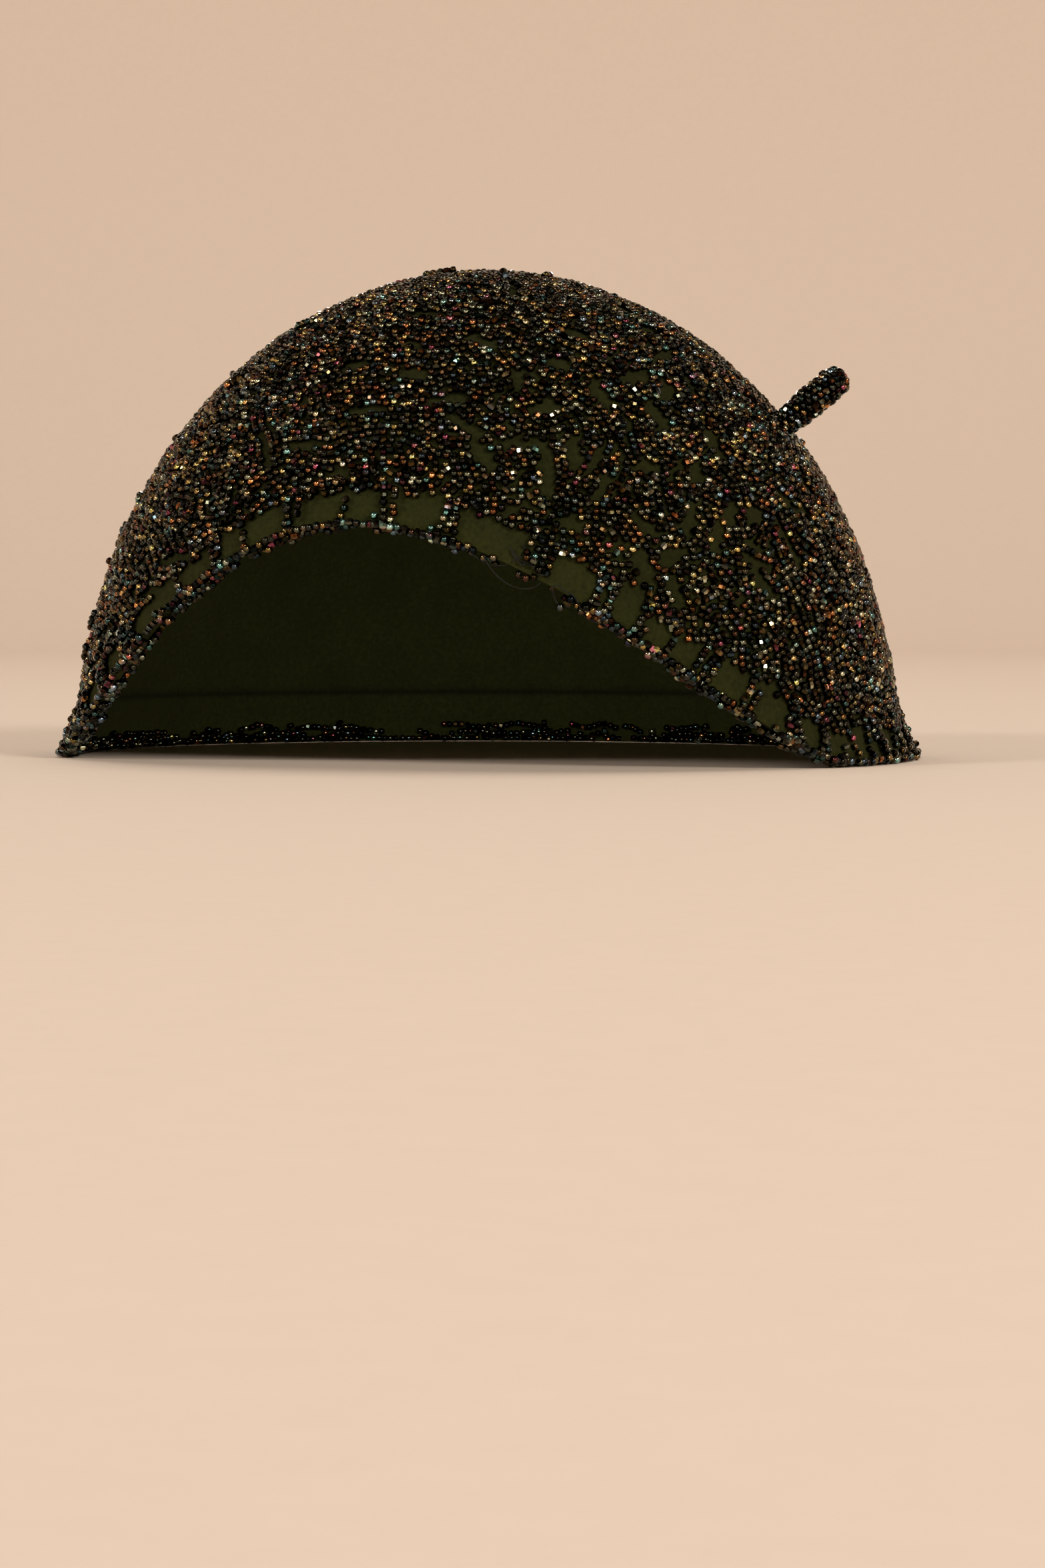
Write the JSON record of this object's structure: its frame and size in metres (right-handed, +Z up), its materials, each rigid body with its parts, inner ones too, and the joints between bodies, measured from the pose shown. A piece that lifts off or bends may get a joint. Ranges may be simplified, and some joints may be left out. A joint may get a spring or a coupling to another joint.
{
  "type": "beaded felt bell cap",
  "caption": "Bell-shaped felt cap with an arched front edge, flared foot and short side stem, covered in dark iridescent seed beads; worn on the head.",
  "frame": {"origin": "on the surface the cap stands on, under the middle of its box", "axes": "+Z up towards the crown, -Y towards the arched front, +X towards the wearer's left, where the stem is"},
  "size_m": [0.228, 0.1952, 0.127],
  "materials": {
    "felt": "dark moss green wool felt, short nap",
    "beads": "opaque black seed beads with an iris coating in green, blue, bronze, gold and copper"
  },
  "bodies": {
    "root": {"felt_cap": "felt", "stem": "beads"}
  },
  "joints": []
}
